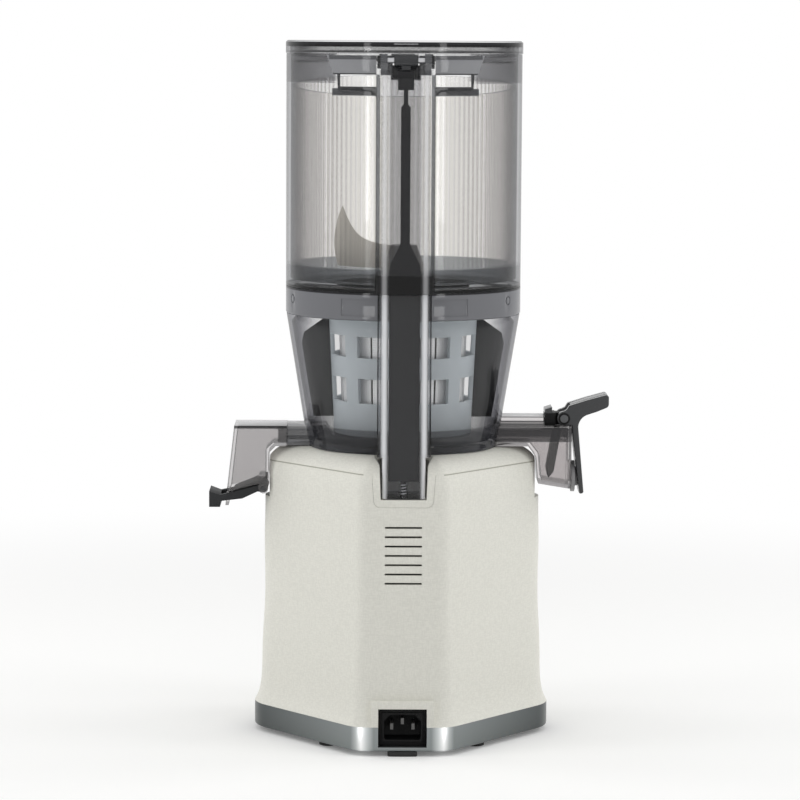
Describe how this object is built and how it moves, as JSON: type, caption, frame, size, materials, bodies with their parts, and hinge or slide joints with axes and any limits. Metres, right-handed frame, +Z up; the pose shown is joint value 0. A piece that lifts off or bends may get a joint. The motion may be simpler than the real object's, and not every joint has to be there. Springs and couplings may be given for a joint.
{
  "type": "cold press juicer",
  "caption": "Vertical cold press juicer: hexagonal motor base, clear juicing bowl with auger, strainer and spinning brush, fluted hopper with hinged lid.",
  "frame": {"origin": "on the worktop under the axis of the drive shaft and auger", "axes": "+Z up, -Y to the front with the selector, +Y to the rear with the power inlet, -X to the juice spout, +X to the pulp chute"},
  "size_m": [0.2691, 0.2028, 0.4668],
  "materials": {
    "band_metal": "satin metallic",
    "foot_rubber": "matte",
    "housing": "matte with a fine linen grain",
    "black_silicone": "matte",
    "grey_silicone": "translucent",
    "inlet_black": "matte",
    "pin_metal": "plated",
    "steel": "machined",
    "gear_steel": "machined",
    "magnet": "ground",
    "gear_nylon": "moulded",
    "gear_case": "cast",
    "board": "laminate",
    "cap_dark": "satin",
    "rod_dark": "satin",
    "smoky_clear": "clear smoke",
    "collar_smoke": "clear smoke",
    "spout_clear": "clear smoke",
    "flute_clear": "fluted clear",
    "strainer_dark": "moulded",
    "mesh_steel": "perforated",
    "brush_grey": "moulded",
    "auger_grey": "moulded",
    "wing_beige": "moulded"
  },
  "bodies": {
    "base": {"base_pan": "band_metal", "rubber_feet": "foot_rubber", "motor_housing": "housing", "housing_cover": "housing", "shaft_seal": "black_silicone", "power_inlet": "inlet_black", "inlet_pins": "pin_metal", "motor_can": "steel", "shaft_bearings": "steel", "motor_magnets": "magnet", "layshaft_pin": "steel", "gear_case_lower": "gear_case", "gear_case_cover": "gear_case", "vibration_dampers": "foot_rubber", "base_screws": "steel", "control_board": "board", "safety_switch": "inlet_black", "rotary_switch": "inlet_black", "knob_bezel": "band_metal"},
    "motor_rotor": {"motor_rotor": "steel", "cooling_fan": "inlet_black", "motor_pinion": "gear_steel"},
    "layshaft": {"layshaft_gear": "gear_nylon"},
    "drive": {"output_gear": "gear_nylon", "drive_shaft": "gear_steel"},
    "selector": {"selector_knob": "band_metal", "switch_spindle": "steel"},
    "plunger": {"switch_plunger": "cap_dark"},
    "bowl": {"juicing_bowl": "smoky_clear", "bowl_seal": "black_silicone", "idler_pin": "steel", "locking_collar": "collar_smoke", "bowl_column": "smoky_clear", "lower_rod_spring": "steel", "strainer_frame": "strainer_dark", "strainer_mesh": "mesh_steel", "juice_spout": "spout_clear", "cap_bracket": "cap_dark", "cap_pin": "steel", "drip_flap": "black_silicone", "pulp_chute": "spout_clear", "gate_pin": "steel"},
    "lower_rod": {"lower_interlock_rod": "rod_dark"},
    "idler": {"idler_gear": "gear_nylon"},
    "brush": {"brush_frame": "brush_grey", "wiper_blades": "black_silicone"},
    "auger": {"auger": "auger_grey", "auger_bush": "steel", "cutting_wing": "wing_beige"},
    "juice_cap": {"juice_cap_lever": "cap_dark", "cap_seal": "grey_silicone"},
    "pulp_gate": {"pulp_gate": "black_silicone"},
    "hopper": {"hopper_shell": "smoky_clear", "hopper_liner": "flute_clear", "hopper_column": "smoky_clear", "lid_hinge_pin": "steel"},
    "upper_rod": {"upper_interlock_rod": "rod_dark"},
    "lid": {"lid": "smoky_clear", "lid_seal": "grey_silicone"}
  },
  "joints": [
    {"name": "bowl_lift", "type": "slide", "parent": "base", "child": "bowl", "axis": [0, 0, 1], "range_m": [0, 0.06]},
    {"name": "auger_spin", "type": "hinge", "parent": "bowl", "child": "auger", "pos_m": [0, 0, 0.25], "axis": [0, 0, 1], "continuous": true},
    {"name": "brush_spin", "type": "hinge", "parent": "bowl", "child": "brush", "pos_m": [0, 0, 0.25], "axis": [0, 0, 1], "continuous": true},
    {"name": "idler_spin", "type": "hinge", "parent": "bowl", "child": "idler", "pos_m": [0, -0.0225, 0.2085], "axis": [0, 0, 1], "continuous": true},
    {"name": "drive_spin", "type": "hinge", "parent": "base", "child": "drive", "pos_m": [0, 0, 0.15], "axis": [0, 0, 1], "continuous": true},
    {"name": "layshaft_spin", "type": "hinge", "parent": "base", "child": "layshaft", "pos_m": [0.036, 0, 0.12], "axis": [0, 0, 1], "continuous": true},
    {"name": "rotor_spin", "type": "hinge", "parent": "base", "child": "motor_rotor", "pos_m": [0, 0, 0.07], "axis": [0, 0, 1], "continuous": true},
    {"name": "selector_turn", "type": "hinge", "parent": "base", "child": "selector", "pos_m": [0, -0.09, 0.12], "axis": [0, -1, 0], "range_deg": [-45, 45]},
    {"name": "hopper_twist", "type": "hinge", "parent": "bowl", "child": "hopper", "pos_m": [0, 0, 0.31], "axis": [0, 0, 1], "range_deg": [0, 20]},
    {"name": "lid_hinge", "type": "hinge", "parent": "hopper", "child": "lid", "pos_m": [0, 0.0863, 0.454], "axis": [-1, 0, 0], "range_deg": [0, 105]},
    {"name": "upper_rod_rise", "type": "slide", "parent": "hopper", "child": "upper_rod", "axis": [0, 0, 1], "range_m": [0, 0.0026]},
    {"name": "lower_rod_rise", "type": "slide", "parent": "bowl", "child": "lower_rod", "axis": [0, 0, 1], "range_m": [0, 0.0026], "deforming": ["lower_rod_spring"]},
    {"name": "switch_press", "type": "slide", "parent": "base", "child": "plunger", "axis": [0, 0, 1], "range_m": [0, 0.0026]},
    {"name": "juice_cap_hinge", "type": "hinge", "parent": "bowl", "child": "juice_cap", "pos_m": [-0.1086, 0, 0.2135], "axis": [0, 1, 0], "range_deg": [0, 70]},
    {"name": "pulp_gate_hinge", "type": "hinge", "parent": "bowl", "child": "pulp_gate", "pos_m": [0.0936, 0, 0.1664], "axis": [0, 1, 0], "range_deg": [0, 60]}
  ],
  "couplings": [
    {"joint": "brush_spin", "follows": "auger_spin", "ratio": -0.36364},
    {"joint": "idler_spin", "follows": "auger_spin", "ratio": -1.1429},
    {"joint": "drive_spin", "follows": "auger_spin", "ratio": 1},
    {"joint": "layshaft_spin", "follows": "auger_spin", "ratio": -3},
    {"joint": "rotor_spin", "follows": "auger_spin", "ratio": 9},
    {"joint": "upper_rod_rise", "follows": "lid_hinge", "m_per_rad": 0.0013642},
    {"joint": "lower_rod_rise", "follows": "lid_hinge", "m_per_rad": 0.0013642},
    {"joint": "switch_press", "follows": "lid_hinge", "m_per_rad": 0.0013642}
  ]
}
